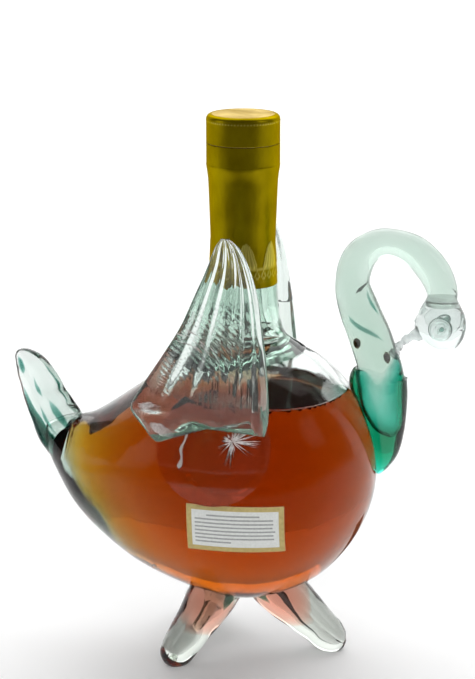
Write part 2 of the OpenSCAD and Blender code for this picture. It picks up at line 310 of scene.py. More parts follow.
def fit(obj, node):
    """Brings a piece to the box of the CAD node that it stands for."""
    lo, hi = (np.array(corner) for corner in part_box(node))
    co = coords(obj)
    own_lo, own_hi = co.min(0), co.max(0)
    set_coords(obj, lo + (co - own_lo) * (hi - lo) / (own_hi - own_lo))


def mirrored(obj, name):
    twin = add_object(name, obj.data.copy())
    twin.data.transform(Matrix.Scale(-1, 4, (0, 1, 0)))
    twin.data.flip_normals()
    return twin


def joined(name, objects):
    """One object from several."""
    work = bmesh.new()
    for obj in objects:
        work.from_mesh(obj.data)
        bpy.data.objects.remove(obj)
    mesh = bpy.data.meshes.new(name)
    work.to_mesh(mesh)
    work.free()
    mesh.shade_smooth()
    return add_object(name, mesh)


def decorate(piece, like, paint):
    """Gives a piece its paint, and lets it move with a CAD node."""
    piece.data.materials.clear()
    piece.data.materials.append(paint)
    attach(piece, BODY_OF[like])


def stand_for(piece, node, paint):
    """Puts a piece in the place of a CAD node."""
    decorate(piece, node, paint)
    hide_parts(node)


# ---- materials ----


def new_paint(name):
    paint = bpy.data.materials.new(name)
    paint.use_nodes = True
    tree = paint.node_tree
    tree.nodes.clear()
    out = tree.nodes.new("ShaderNodeOutputMaterial")
    shader = tree.nodes.new("ShaderNodeBsdfPrincipled")
    tree.links.new(shader.outputs["BSDF"], out.inputs["Surface"])
    return paint, tree, shader, out


def put(node, values):
    for name, value in values.items():
        node.inputs[name].default_value = value


def pattern(tree, scale, detail=3.0, stretch=(1, 1, 1)):
    """Cloudy noise in the piece's own metres. scale is repeats per metre."""
    place = tree.nodes.new("ShaderNodeTexCoord")
    mapping = tree.nodes.new("ShaderNodeMapping")
    put(mapping, {"Scale": stretch})
    texture = tree.nodes.new("ShaderNodeTexNoise")
    put(texture, {"Scale": scale, "Detail": detail})
    tree.links.new(place.outputs["Object"], mapping.inputs["Vector"])
    tree.links.new(mapping.outputs["Vector"], texture.inputs["Vector"])
    return texture.outputs[0]


def ramp(tree, value, *stops):
    """Colours at places from 0 to 1 along a value."""
    node = tree.nodes.new("ShaderNodeValToRGB")
    band = node.color_ramp
    while len(band.elements) < len(stops):
        band.elements.new(0.5)
    for element, (at, colour) in zip(band.elements, stops):
        element.position = at
        element.color = (*colour, 1)
    tree.links.new(value, node.inputs["Fac"])
    return node.outputs["Color"]


def spread(tree, value, low, high):
    """A value from 0 to 1, laid out between low and high."""
    node = tree.nodes.new("ShaderNodeMapRange")
    put(node, {"To Min": low, "To Max": high})
    tree.links.new(value, node.inputs["Value"])
    return node.outputs["Result"]


def bumps(tree, shader, *layers):
    """Layers of (height, depth in metres), one over another."""
    normal = None
    for height, depth in layers:
        node = tree.nodes.new("ShaderNodeBump")
        put(node, {"Strength": 1.0, "Distance": depth})
        tree.links.new(height, node.inputs["Height"])
        if normal:
            tree.links.new(normal, node.inputs["Normal"])
        normal = node.outputs["Normal"]
    tree.links.new(normal, shader.inputs["Normal"])


def glass_paint(name, density, colour, ior=1.5, waves=0.24 * MM, tint=(0.96, 0.99, 0.98), clear=1, gloss=1):
    """Glass with soft waves, faint streaks and a colour that deepens with its thickness.

    The share that isn't clear is milky. gloss is the share kept of the mirror image, less than 1 where sheets
    of glass and spirit lie on each other.
    """
    paint, tree, shader, out = new_paint(name)
    put(shader, {"Transmission Weight": clear, "Specular Tint": (gloss, gloss, gloss, 1), "IOR": ior})
    streaks = pattern(tree, 90, detail=4)
    tree.links.new(ramp(tree, streaks, (0.3, tint), (0.7, (1, 1, 1))), shader.inputs["Base Color"])
    tree.links.new(spread(tree, pattern(tree, 260), 0.0, 0.035), shader.inputs["Roughness"])
    bumps(tree, shader, (pattern(tree, 55, detail=2), waves), (pattern(tree, 900), 0.01 * MM))
    absorption = tree.nodes.new("ShaderNodeVolumeAbsorption")
    put(absorption, {"Color": (*colour, 1), "Density": density})
    tree.links.new(absorption.outputs["Volume"], out.inputs["Volume"])
    return paint


def foil_paint(name, dull, bright, edge):
    """Gold-lacquered foil: satin, cloudy, with fine creases, and brighter where its relief is marked.

    edge is its colour where it is seen at a flat angle.
    """
    colour_a, colour_b, mixed = 6, 7, 2  # sockets of the Mix node when it mixes colours
    raised_gold = (0.75, 0.65, 0.15, 1)
    paint, tree, shader, _ = new_paint(name)
    put(shader, {"Metallic": 0.9, "Specular IOR Level": 0.0, "Specular Tint": (*edge, 1)})
    lacquer = ramp(tree, pattern(tree, 70, detail=5), (0.3, dull), (0.7, bright))
    relief = tree.nodes.new("ShaderNodeAttribute")
    relief.attribute_name = "relief"
    mix = tree.nodes.new("ShaderNodeMix")
    mix.data_type = "RGBA"
    tree.links.new(relief.outputs["Fac"], mix.inputs["Factor"])
    tree.links.new(lacquer, mix.inputs[colour_a])
    mix.inputs[colour_b].default_value = raised_gold
    tree.links.new(mix.outputs[mixed], shader.inputs["Base Color"])
    tree.links.new(spread(tree, pattern(tree, 300, detail=4), 0.26, 0.38), shader.inputs["Roughness"])
    bumps(
        tree, shader,
        (pattern(tree, 90, detail=2, stretch=(1, 1, 0.12)), 0.08 * MM),
        (pattern(tree, 1500, detail=2), 0.002 * MM),
    )
    return paint


def matt_paint(name, low, high, scale, rough=(0.5, 0.7), grain=0.02 * MM, stretch=(1, 1, 1)):
    """An opaque, mottled surface with a fine grain."""
    paint, tree, shader, _ = new_paint(name)
    mottle = pattern(tree, scale, detail=6, stretch=stretch)
    tree.links.new(ramp(tree, mottle, (0.3, low), (0.7, high)), shader.inputs["Base Color"])
    tree.links.new(spread(tree, pattern(tree, scale * 3), *rough), shader.inputs["Roughness"])
    bumps(tree, shader, (pattern(tree, scale * 5, detail=5, stretch=stretch), grain))
    return paint


CLEAR = glass_paint("clear_glass", 24, (0, 0.3, 0.16))
BLOWN = glass_paint("blown_glass", 24, (0, 0.3, 0.16), gloss=0.08)
NECK = glass_paint("neck_glass", 55, (0, 0.42, 0.2))
DRAWN = glass_paint("drawn_glass", 36, (0, 0.44, 0.2), ior=1.32, clear=0.86)
PALE = glass_paint("pale_glass", 10, (0, 0.4, 0.3), ior=1.26, clear=0.84)
FUSED = glass_paint("fused_glass", 40, (0, 0.3, 0.16), gloss=0.6)
PRESSED = glass_paint("pressed_glass", 30, (0, 0.42, 0.2), ior=1.45, clear=0.94)
MILKY = glass_paint("milky_glass", 40, (0, 0.5, 0.42), ior=1.3, clear=0.6)
# Foot glass darkened to grey: painted shade for the shadowed floor seen through the feet
GREYED_FOOT_GLASS = glass_paint("foot_glass_painted_shade", 45, (0.35, 0.42, 0.32))
GREEN = glass_paint("green_glass", 560, (0, 0.8, 0.7), tint=(0.9, 1, 0.98))
TEAL = glass_paint("teal_glass", 420, (0, 0.35, 0.25), tint=(0.8, 1, 0.95))
CORE = {"ior": 1.0, "tint": (1, 1, 1)}  # colour within glass, which doesn't bend the light again
TEAL_CORE = glass_paint("teal_core", 900, (0, 0.5, 0.42), **CORE)
OLIVE_CORE = glass_paint("olive_core", 2800, (0.42, 0.36, 0), **CORE)
# Painted light: a pink core in the feet's tops, in place of the amber light that falls through the spirit on
# to them
CAUSTIC_PINK_CORE = glass_paint("painted_caustic_core", 100, (1, 0.45, 0.3), **CORE)
BROWN_CORE = glass_paint("brown_core", 260, (0.75, 0.42, 0.3), **CORE)
SPIRIT = glass_paint(
    "amber_spirit", 115, (0.885, 0.68, 0), ior=1.36, waves=0.00004 * MM, tint=(1, 0.98, 0.95), gloss=0.05
)
FOIL = foil_paint("gold_foil", (0.24, 0.175, 0.001), (0.34, 0.255, 0.003), (0.65, 0.54, 0.04))
DISC_FOIL = foil_paint("pale_gold_foil", (0.26, 0.16, 0.03), (0.72, 0.58, 0.28), (0.8, 0.7, 0.42))
OAK = matt_paint("turned_oak", (0.42, 0.27, 0.14), (0.62, 0.45, 0.28), 120, stretch=(1, 1, 0.1))
CORK = matt_paint("pressed_cork", (0.5, 0.34, 0.2), (0.72, 0.55, 0.36), 400, grain=0.1 * MM)
PAPER = matt_paint("label_paper", (0.78, 0.8, 0.77), (0.88, 0.9, 0.88), 900)
GOLD_INK = matt_paint("gold_ink", (0.5, 0.38, 0.13), (0.63, 0.5, 0.2), 700, rough=(0.35, 0.5))
GREY_INK = matt_paint("grey_ink", (0.32, 0.33, 0.33), (0.5, 0.51, 0.5), 1500)
# White for the crackle's splinters, and for the painted glints on the wing
CRACKLE_AND_GLINT_WHITE = matt_paint("crackle_and_painted_glint_white", (0.5, 0.46, 0.45), (0.92, 0.9, 0.88), 900, rough=(0.15, 0.4))

# ---- body, spirit and bottle neck ----


def body_sections(per):
    rows = smooth(BODY_ROWS, per) * MM
    rows[:, 3] *= HALF_DEPTH / MM
    return rows


SECTIONS = body_sections(per=12)


def side_y(x, z):
    """Distance of the body's outside from its middle plane."""
    mid, half_h, half_w = (np.interp(x, SECTIONS[:, 0], SECTIONS[:, c]) for c in (1, 2, 3))
    return half_w * np.sqrt(np.maximum(0, 1 - ((z - mid) / half_h) ** 2))


def upright_rings(sections, sides=144):
    angle = (np.arange(sides) * TURN / sides)[None, :]
    x = np.repeat(sections[:, :1], sides, axis=1)
    y = sections[:, 3:4] * np.sin(angle)
    z = sections[:, 1:2] + sections[:, 2:3] * np.cos(angle)
    return np.stack([x, y, z], axis=2)


def outside_form(inset):
    """The body's outside, drawn in by the inset."""
    rows = body_sections(per=6)
    rows[:, 0] *= 1 - inset / MM / INSET_SPAN
    rows[:, 2:] = np.maximum(rows[:, 2:] - inset, LEAST)
    return skin("outside", upright_rings(rows))


def hollow_form(grow):
    """The hollow, which leaves the wall, the heel and the tail's end. grow makes it larger all round."""
    rows = body_sections(per=6)
    tail_x, breast_x = rows[0, 0], rows[-1, 0]
    inset = WALL - grow
    root = TAIL_ROOT * MM
    heel = HEEL_T * MM * hump(rows[:, 0] / MM, HEEL_X, HEEL_LENGTH)
    heel *= np.minimum(1, rows[:, 2] / MM / HEEL_FULL_H)
    kept = (rows[:, 2] > HOLLOW_FROM_H * MM) | (rows[:, 0] > 0)
    length = breast_x - tail_x
    rows[:, 0] = tail_x + root + (rows[:, 0] - tail_x) * (length - root - inset) / length
    rows[:, 1] += heel / 2
    rows[:, 2] = np.maximum(rows[:, 2] - inset - heel / 2, LEAST)
    rows[:, 3] = np.maximum(rows[:, 3] - inset, LEAST)
    return skin("hollow", upright_rings(rows[kept]))


def body_glass():
    """The blown body, hollow, and open at the top where the neck stands on it."""
    body = outside_form(0)
    ripple(body, height=0.12 * MM, size=30 * MM)
    fit(body, "body_shell")
    cut(body, hollow_form(0))
    opening = 19.5 * MM
    hole = lathe("hole", [(opening, FILL), (opening, neck_hi.z)], sides=96)
    cut(body, over_neck(hole))
    body.name = "body_glass"
    return body


def spirit():
    """The spirit, a little larger than the hollow, with a meniscus at the glass."""
    rise, reach, sunk = 1.1 * MM, 1.3 * MM, 0.1 * MM
    gaps = (0.4, 0.9, 1.6, 2.5, 4, 8)  # distances from the glass, in millimetres
    fill = hollow_form(OVERLAP)
    work = bmesh.new()
    work.from_mesh(fill.data)
    bmesh.ops.bisect_plane(
        work, geom=[*work.verts, *work.edges, *work.faces], plane_co=(0, 0, FILL + rise - sunk),
        plane_no=(0, 0, 1), clear_outer=True,
    )
    rim = [e for e in work.edges if e.is_boundary]
    middle = sum((v.co for e in rim for v in e.verts), Vector()) / (2 * len(rim))
    size = max((v.co - middle).length for e in rim for v in e.verts)
    for gap in gaps:
        edges = bmesh.ops.extrude_edge_only(work, edges=rim)["geom"]
        rim = [e for e in edges if isinstance(e, bmesh.types.BMEdge)]
        for v in {v for e in rim for v in e.verts}:
            share = 1 - gap * MM / size
            v.co.x = middle.x + (v.co.x - middle.x) * share
            v.co.y = middle.y + (v.co.y - middle.y) * share
            v.co.z = FILL - sunk + rise * math.exp(-gap * MM / reach)
    bmesh.ops.contextual_create(work, geom=rim)
    work.to_mesh(fill.data)
    work.free()
    face_outwards(fill)
    fill.name = "spirit_amber"
    return fill


def top_z(x, y):
    """Height of the top of the body's outside."""
    mid, half_h, half_w = (np.interp(x, SECTIONS[:, 0], SECTIONS[:, c]) for c in (1, 2, 3))
    return mid + half_h * math.sqrt(max(0, 1 - (y / half_w) ** 2))


def bottle_neck():
    """The neck, whose foot is drawn out over the body's shoulder to a thin edge."""
    top = neck_hi.z
    seat = top - 9.7 * MM  # where the lip ring sits
    bore, rim = 10.5, 14.6
    # Radius and height in millimetres: down the outside, then up the inside
    outside = [[15.9, seat / MM], [15.3, 214], [14.9, 197], [15.8, 177], [16.4, 167], [17.5, 158]]
    outside += [[20, 152.6], [23.5, 150.3], [27, 149.2], [29, 148.6]]
    inside = [[24, 147.6], [19, 144.8], [17.5, 149.5], [14.5, 154.5], [11.8, 164], [bore, 176]]
    shoulder = top_z(NECK_X, 0)
    profile = [(bore, top / MM), (rim, top / MM), (rim, seat / MM)]
    profile += [tuple(p) for p in smooth(outside, per=8)] + [tuple(p) for p in smooth(inside, per=8)]
    neck = lathe("neck_glass", [(r * MM, h * MM) for r, h in profile], sides=128, closed=True)
    foot_z, shaft_from = 152 * MM, 170 * MM
    lies_from, lies_over = 16, 5  # radius and width within which the foot comes to lie on the body
    for v in neck.data.vertices:
        turn = math.atan2(v.co.y, v.co.x)
        low = hump(v.co.z, foot_z, 7 * MM)
        fold = math.sin(v.co.z / (1.3 * MM) + 2 * turn) * 0.22 * MM
        fold += noise.noise(v.co / (9 * MM)) * 0.7 * MM
        push = 1 + low * fold / max(v.co.xy.length, MM)
        v.co.x *= push
        v.co.y *= push
        laid = min(1, max(0, (v.co.xy.length / MM - lies_from) / lies_over))
        v.co.z += (top_z(NECK_X + v.co.x, v.co.y) - shoulder) * laid * (v.co.z < shaft_from)
    return over_neck(neck)


# ---- solid glass ----


def fuse(piece):
    """Cuts off what would lie deeper in the body than fused glass reaches."""
    cut(piece, outside_form(FUSE))


def swan_neck():
    neck = skin("swan_neck_glass", path_rings(SWAN_NECK_ROWS, per=12, sides=64))
    ripple(neck, height=0.3 * MM, size=14 * MM, seed=3)
    fit(neck, "swan_neck")
    return neck


def inner_rod():
    """The swan's neck a little thinner, to be cut out of the pieces that touch it."""
    return skin("rod", path_rings(SWAN_NECK_ROWS, per=8, sides=48, grow=-0.3))


def swan_head():
    head = skin("swan_head_glass", path_rings(HEAD_ROWS, per=10, sides=64))
    ripple(head, height=0.5 * MM, size=9 * MM, seed=5)
    fit(head, "swan_head")
    cut(head, inner_rod())
    return head


def beak():
    def knots(share, angle):
        return 1 + 0.16 * np.sin(share * 23 + 2 * angle) + 0.1 * np.sin(share * 57 - angle)

    strand = skin("beak_glass", path_rings(BEAK_ROWS, per=20, sides=32, form=knots))
    fit(strand, "beak")
    return strand


def gather():
    drop = skin("gather_green", path_rings(GATHER_ROWS, per=12, sides=80))
    fuse(drop)
    cut(drop, inner_rod())
    return drop


def pupil():
    """The dark bead near the middle of the near eye."""
    lo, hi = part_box("eye_right")
    width = hi.x - lo.x
    size = width * 0.09
    bead = lathe("eye_right_pupil", arc(size, size, -1.5, 1.5, 17), sides=24)
    place = (lo.x + width * 0.56, lo.y + size * 1.3, (lo.z + hi.z) / 2)
    bead.data.transform(Matrix.Translation(place))
    return bead


def tail():
    def ridge(share, angle):
        crest = hump(angle, 0.7 * TURN, 0.16)
        groove = hump(angle, 0.78 * TURN, 0.2)
        return 1 + (0.13 * crest - 0.12 * groove) * np.sin(share * 3)

    paddle = skin("tail_glass", path_rings(TAIL_ROWS, per=14, sides=96, form=ridge))
    ripple(paddle, height=0.6 * MM, size=8 * MM, seed=7)
    fuse(paddle)
    fit(paddle, "tail")
    return paddle


def foot(node):
    turn, reach = FOOT_TURNS[node]

    def crease(share, angle):
        depth = np.clip((share - 0.25) / 0.3, 0, 1)
        lines = sum(hump(angle, at * TURN, 0.09) for at in FOOT_CREASES)
        return 1 - 0.11 * depth * lines

    limb = skin("foot", path_rings(FOOT_ROWS, per=14, sides=128, form=crease))
    ripple(limb, height=0.5 * MM, size=10 * MM, seed=turn)
    co = coords(limb)
    co[:, 2] = np.maximum(co[:, 2], 0)
    set_coords(limb, co)
    place = Matrix.Translation((FOOT_X * MM, 0, 0)) @ Matrix.Rotation(math.radians(turn), 4, "Z")
    limb.data.transform(place @ Matrix.Translation((reach * MM, 0, 0)))
    fuse(limb)
    fit(limb, node)
    limb.name = node + "_glass"
    return limb


def wing_pad():
    profile = [
        (pad_radius * math.cos(a), PAD_BULGE * math.sin(a) * abs(math.sin(a)))
        for a in np.linspace(-math.pi / 2, math.pi / 2, 41)[1:-1]
    ]
    pad = lathe("pad", profile, sides=96)
    tilt = Matrix.Rotation(math.radians(90 - PAD_LEAN), 4, "X")
    pad.data.transform(Matrix.Translation((pad_middle.x, PAD_Y, PAD_Z)) @ tilt)
    fuse(pad)
    fit(pad, "wing_pad_right")
    pad.name = "wing_pad_right_glass"
    return pad


# The wing's lower edge: x and z, with the notch behind its lowest corner
WING_HEM = [
    [-41, 122], [-33, 115], [-28, 112], [-21, 117.5], [-13, 121.5],
    [-2, 119.5], [8, 120.5], [14, 122.5], [18, 117.5], [23.2, 115.5],
]
# Its pattern: the share of the width with ribs, the number of long ribs, and pitches in millimetres
RIBBED, LONG_RIBS = 0.8, 4.2
FEATHER_PITCH, COMB_PITCH, LINE_PITCH, FINE_PITCH = 2.5, 2.1, 2.7, 1.3


def wing_relief(x, z, u, up):
    """Height of the pressed pattern in millimetres. u runs from back edge to front, up from hem to tip."""
    wander = noise.noise((u * 3, up * 2.5, 1))
    raised = 0.0
    if u < RIBBED:
        inside = min(1, (RIBBED - u) / 0.08)
        rib = LONG_RIBS * u**0.85 + 0.5 * (1 - up) * u + 0.25 * wander
        long_rib = 0.5 + 0.5 * math.cos(TURN * rib)
        raised += 1.1 * long_rib**3 * (0.2 + 0.8 * up) * inside
        feather = math.cos(TURN * math.hypot(x + 46, z - 112) / FEATHER_PITCH + 3 * wander)
        raised += 0.12 * feather * hump(z, 160, 14) * inside
        comb = math.cos(TURN * (0.75 * x + 0.66 * z) / COMB_PITCH)
        raised += 0.12 * comb * hump(x, -24, 6.5) * hump(z, 144, 9)
    upright = math.cos(TURN * x / LINE_PITCH + 4 * wander)
    upright += 0.5 * math.cos(TURN * x / FINE_PITCH + 7 * wander)
    raised += 0.11 * upright * hump(z, 130, 11) * min(1, max(0, (u - 0.42) / 0.1))
    fold = z - (124.5 - 0.08 * (x + 40))
    raised += 1.5 * hump(fold, 4, 2) * hump(x, -31, 7) + 1.3 * hump(fold, -4, 2.2) * hump(x, -25, 6)
    raised += 2.1 * hump(u, 0.93, 0.045) + 0.75 * hump(u, 0.76, 0.02) * min(1, 1.4 - up)
    raised += 0.07 * noise.noise((x / 1.6, z / 7, 8)) + 0.4 * noise.noise((x / 7, z / 12, 5))
    return raised


def wing():
    """A pressed feather fan: long ribs that close up at the tip, fine lines between, a thick front rib."""
    rows = smooth(WING_ROWS, per=24)
    hem = smooth(WING_HEM, per=8)
    near_count, far_count = 280, 70
    near_share = (np.arange(near_count) + 0.5) / near_count
    far_share = (np.arange(far_count) + 0.5)[::-1] / far_count
    rings = []
    for k, (back, front, mid_y, half_t, level) in enumerate(rows):
        up = k / (len(rows) - 1)
        ring = []
        for side, share in ((-1, near_share), (1, far_share)):
            for u in share:
                x = back + (front - back) * u
                z = level + (np.interp(x, hem[:, 0], hem[:, 1]) - WING_ROWS[0][4]) * (1 - up) ** 7
                edge = math.sqrt(1 - (2 * u - 1) ** 8)
                face = half_t * edge
                if side < 0:
                    face += wing_relief(x, z, u, up) * min(1, half_t / 2) * min(1, 4 * edge)
                else:
                    face += 0.25 * noise.noise((u * 14, up * 6, 12)) * edge
                ring.append((x, mid_y + side * face, z))
        rings.append(ring)
    fan = skin("wing_right_glass", np.array(rings) * MM)
    fit(fan, "wing_right")
    return fan


def eye():
    lo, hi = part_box("eye_right")
    centre, radius, half_t = (lo + hi) / 2, (hi.x - lo.x) / 2, (hi.y - lo.y) / 2
    back = arc(radius, half_t, -1.4, 0, 9)
    # Shares of the radius and of the half thickness
    shape = [[1, 0], [0.93, 0.55], [0.8, 0.9], [0.66, 0.62]]
    shape += [[0.5, 0.25], [0.36, 0.3], [0.24, 0.75], [0.03, 0.95]]
    front = [(radius * r, half_t * h) for r, h in smooth(shape, per=6)]
    button = lathe("eye_right_glass", back[:-1] + front, sides=64)
    button.data.transform(Matrix.Translation(centre) @ Matrix.Rotation(math.radians(90), 4, "X"))
    return button


# ---- foil ----


def foil_sheet(name, outline, relief):
    """Foil turned from its outer line, raised by relief(angle, z), which also gives a mark for the paint."""
    outer = [(r * MM, h * MM) for r, h in outline]
    inner = [(r - FOIL_SHEET, h) for r, h in outer[::-1]]
    sheet = lathe(name, outer + inner, sides=320, closed=True)
    marks = sheet.data.attributes.new("relief", "FLOAT", "POINT")
    values = []
    for v in sheet.data.vertices:
        radius = v.co.xy.length
        raised, mark = relief(math.atan2(v.co.y, v.co.x), v.co.z)
        v.co.x *= 1 + raised / radius
        v.co.y *= 1 + raised / radius
        values.append(mark)
    marks.data.foreach_set("value", values)
    return over_neck(sheet)


def skirt_relief(turn, z):
    """Soft creases, a row of lozenges between two lines, and a row of fluted leaves above it."""
    leaves, leaf_from, leaf_to = 7, 9, 21
    lozenges, lozenge_at, lozenge_half = 28, 6, 2.4
    height = (z - skirt_lo.z) / MM
    raised = noise.noise((3 * math.cos(turn), 3 * math.sin(turn), z / (30 * MM))) * 0.1
    raised += noise.noise((9 * math.cos(turn), 9 * math.sin(turn), z / (5 * MM))) * 0.03
    mark = 0.0
    cell = ((turn / TURN * leaves) % 1) * 2 - 1
    if leaf_from < height < leaf_to:
        share = (height - leaf_from) / (leaf_to - leaf_from)
        inside = abs(cell) < 0.8 * math.sqrt(max(0, 1 - share))
        flute = 0.5 + 0.5 * math.cos(TURN * 3.5 * cell / max(0.15, 1 - share * 0.7))
        if inside:
            raised += 0.1 + 0.16 * flute
            mark = 0.35 + 0.6 * flute
    if lozenge_at - lozenge_half < height < lozenge_at + lozenge_half:
        lozenge = abs(((turn / TURN * lozenges) % 1) * 2 - 1) + abs((height - lozenge_at) / lozenge_half)
        line = hump(lozenge, 0.75, 0.16)
        raised += 0.2 * line
        mark = max(mark, 0.85 * line)
    for ring in (3.2, 8.8):
        edge = hump(height, ring, 0.25)
        raised += 0.12 * edge
        mark = max(mark, 0.8 * edge)
    return raised * MM, mark


def capsule_skirt():
    """The foil round the neck, wider where it lies over the lip ring."""
    top, low, lip = skirt_hi.z / MM, skirt_lo.z / MM, lip_lo.z / MM
    over_lip = (lip_hi.x - lip_lo.x) / 2 / MM + 0.35
    # Radius and height in millimetres, from the lower edge up
    outline = [[15.9, low], [15.2, 190], [15.1, 197], [15.6, 212], [16.1, 224]]
    outline += [[over_lip, lip - 1], [over_lip, lip + 1], [over_lip, top]]
    return foil_sheet("foil_skirt", smooth(outline, per=16), skirt_relief)


def cap_relief(turn, z):
    """Soft creases and a row of fine dots under the top, kept inside the frame's box."""
    dot_count, dots_below, sunk = 72, 2.9 * MM, 0.12
    raised = noise.noise((4 * math.cos(turn), 4 * math.sin(turn), z / (12 * MM))) * 0.05
    dots = 0.5 + 0.5 * math.cos(dot_count * turn)
    line = hump(z - cap_hi.z, -dots_below, 0.35 * MM)
    raised += 0.1 * dots * line
    return (raised - sunk) * MM, 0.6 * dots * line


def capsule_cap():
    radius = (cap_hi.x - cap_lo.x) / 2 / MM
    low, top, bend = cap_lo.z / MM, cap_hi.z / MM, 2.3
    steps = 40
    outline = [(radius, low + (top - bend - low) * k / steps) for k in range(steps)]
    outline += [(radius - bend + x, top - bend + z) for x, z in arc(bend, bend, 0, TURN / 4, 14)]
    return foil_sheet("foil_cap", outline, cap_relief)


def disc_fall(x, y):
    """Share by which the foil's top is sunk at a place. It is least on the crimped fold across it."""
    bend = y - 1.5 * MM * math.sin(x / (5 * MM)) - 1.2 * MM * noise.noise((x / (3 * MM), 2, 5))
    fold = hump(bend, 0, 0.8 * MM) * (0.5 + 0.5 * noise.noise((x / (2 * MM), 7, 1)))
    crinkle = noise.noise((x / (4 * MM), y / (4 * MM), 3)) * 0.5
    return 0.5 * (1 - fold) + 0.35 * crinkle


def capsule_disc():
    """The foil's flat top, with the folded seam across it."""
    lo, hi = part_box("capsule_disc")
    radius = (hi.x - lo.x) / 2
    over_wood = hi.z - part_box("stopper_head")[1].z
    sheet = 0.15 * over_wood
    flat_edge = 2 * MM
    rings, sides = 60, 160
    points = []
    for layer in (0, 1):
        for k in range(1, rings + 1):
            for i in range(sides):
                r = radius * k / rings
                turn = TURN * i / sides
                x, y = r * math.cos(turn), r * math.sin(turn)
                depth = disc_fall(x, y) * over_wood * min(1, (radius - r) / flat_edge)
                points.append((x, y, hi.z - max(0, depth) - layer * sheet))
    centre = len(points)
    middle_z = hi.z - 0.5 * over_wood
    points += [(0, 0, middle_z), (0, 0, middle_z - sheet)]
    faces = []
    for layer in (0, 1):
        start = layer * rings * sides
        faces += [tuple(start + n for n in face) for face in band_faces(rings, sides)]
        faces += [(centre + layer, start + i, start + (i + 1) % sides) for i in range(sides)]
    outer = (rings - 1) * sides
    lower = rings * sides
    for i in range(sides):
        across = (i + 1) % sides
        faces.append((outer + i, outer + across, lower + outer + across, lower + outer + i))
    return over_neck(mesh_object("foil_disc", points, faces))


# ---- small things on it ----


def ring_points(centre, side, up, radius, sides):
    turns = [TURN * i / sides for i in range(sides)]
    return [tuple(centre + (side * math.cos(a) + up * math.sin(a)) * radius) for a in turns]


def needle(start, end, radius):
    """A thin needle, thickest near its start: a splinter of glass in the crackle, a painted glint on the
    wing.
    """
    run = end - start
    side = run.cross(Vector((0, 1, 0))).normalized()
    up = run.cross(side).normalized()
    swells = ((0, 0.6), (0.2, 1), (0.6, 0.7), (1, 0.15))
    rings = [ring_points(start + run * share, side, up, radius * swell, sides=6) for share, swell in swells]
    return skin("needle", np.array(rings))


def on_pad(x, z, lift=0.0):
    """A point over the near pad's outer face."""
    away = min(1, math.hypot(x - pad_middle.x, z - pad_middle.z) / pad_radius)
    bulge = PAD_BULGE * (1 - away**2)
    lean = (z - PAD_Z) * math.tan(math.radians(PAD_LEAN))
    return Vector((x, PAD_Y + lean - bulge - lift, z))


def crackle_star():
    """The burst of splinters where the wing was pressed on to the pad."""
    centre_x, centre_z = 6 * MM, 115 * MM
    count = 62
    splinters_and_glints = []
    for _ in range(count):
        turn = rng.uniform(0, TURN)
        length = rng.uniform(2.5, 9.5) * MM * (1 + 0.45 * math.cos(turn + 0.8))
        inner = rng.uniform(0, 2.5) * MM
        start = on_pad(centre_x + inner * math.cos(turn), centre_z + inner * math.sin(turn), 0.6 * MM)
        end = on_pad(centre_x + length * math.cos(turn), centre_z + length * math.sin(turn), 0.3 * MM)
        splinters_and_glints.append(needle(start, end, rng.uniform(0.16, 0.4) * MM))
    return joined("crackle_star", splinters_and_glints)


def on_wing(x, z, lift):
    """A point over the near wing's face, lift off the hollows of its pattern. All three in millimetres."""
    rows = smooth(WING_ROWS, per=4)
    mid_y, half_t = (np.interp(z, rows[:, 4], rows[:, c]) for c in (2, 3))
    return Vector((x, mid_y - half_t - lift, z)) * MM


def painted_glint(x, z, run, rise, lift, radius):
    """A painted glint: a white needle over the wing, run and rise to both sides of its middle, in
    millimetres.
    """
    return needle(on_wing(x - run, z - rise, lift), on_wing(x + run, z + rise, lift), radius * MM)


def leaf_painted_glints(x, middle_z, half_length, half_width, slope):
    """Painted glints: white needles side by side, longest in the middle, as a leaf."""
    last = 8
    splinters_and_glints = []
    for k in range(last + 1):
        across = (k / (last / 2) - 1) * 0.95
        half = half_length * math.sqrt(1 - across**2) * rng.uniform(0.7, 1)
        z = middle_z + across * half_width
        splinters_and_glints.append(painted_glint(x, z, half, half * slope, lift=2, radius=0.24))
    return splinters_and_glints


def comb_painted_glints():
    """Painted glints: a slanting row of short parallel white needles."""
    count, slope = 13, -0.55
    splinters_and_glints = []
    for k in range(count):
        x, z = -27.5 + 0.85 * k, 139 + 1.05 * k
        half = 2.6 * math.sin(math.pi * (k + 1) / (count + 1)) * rng.uniform(0.7, 1.1)
        splinters_and_glints.append(painted_glint(x, z, half, half * slope, lift=0.5, radius=0.2))
    return splinters_and_glints


def arc_painted_glints():
    """Painted glints: fine white needles scattered along an arc."""
    count, arc_x, arc_z = 26, -24, 140
    splinters_and_glints = []
    for _ in range(count):
        turn = math.radians(rng.uniform(18, 75))
        bow = rng.uniform(20, 27)
        x, z = arc_x + bow * math.cos(turn), arc_z + bow * math.sin(turn)
        half = rng.uniform(1.5, 3)
        splinters_and_glints.append(painted_glint(x, z, math.sin(turn) * half, -math.cos(turn) * half, lift=1, radius=0.16))
    return splinters_and_glints


def wing_painted_glints():
    """Painted glints: white needles in place of the glints off the pressed wing, two leaves in the wing's
    corner, a comb and an arc above.
    """
    splinters_and_glints = leaf_painted_glints(-31, 130, half_length=6.5, half_width=2.3, slope=-0.1)
    splinters_and_glints += leaf_painted_glints(-25.5, 120, half_length=6, half_width=2.6, slope=-0.4)
    return joined("wing_painted_glints", splinters_and_glints + comb_painted_glints() + arc_painted_glints())


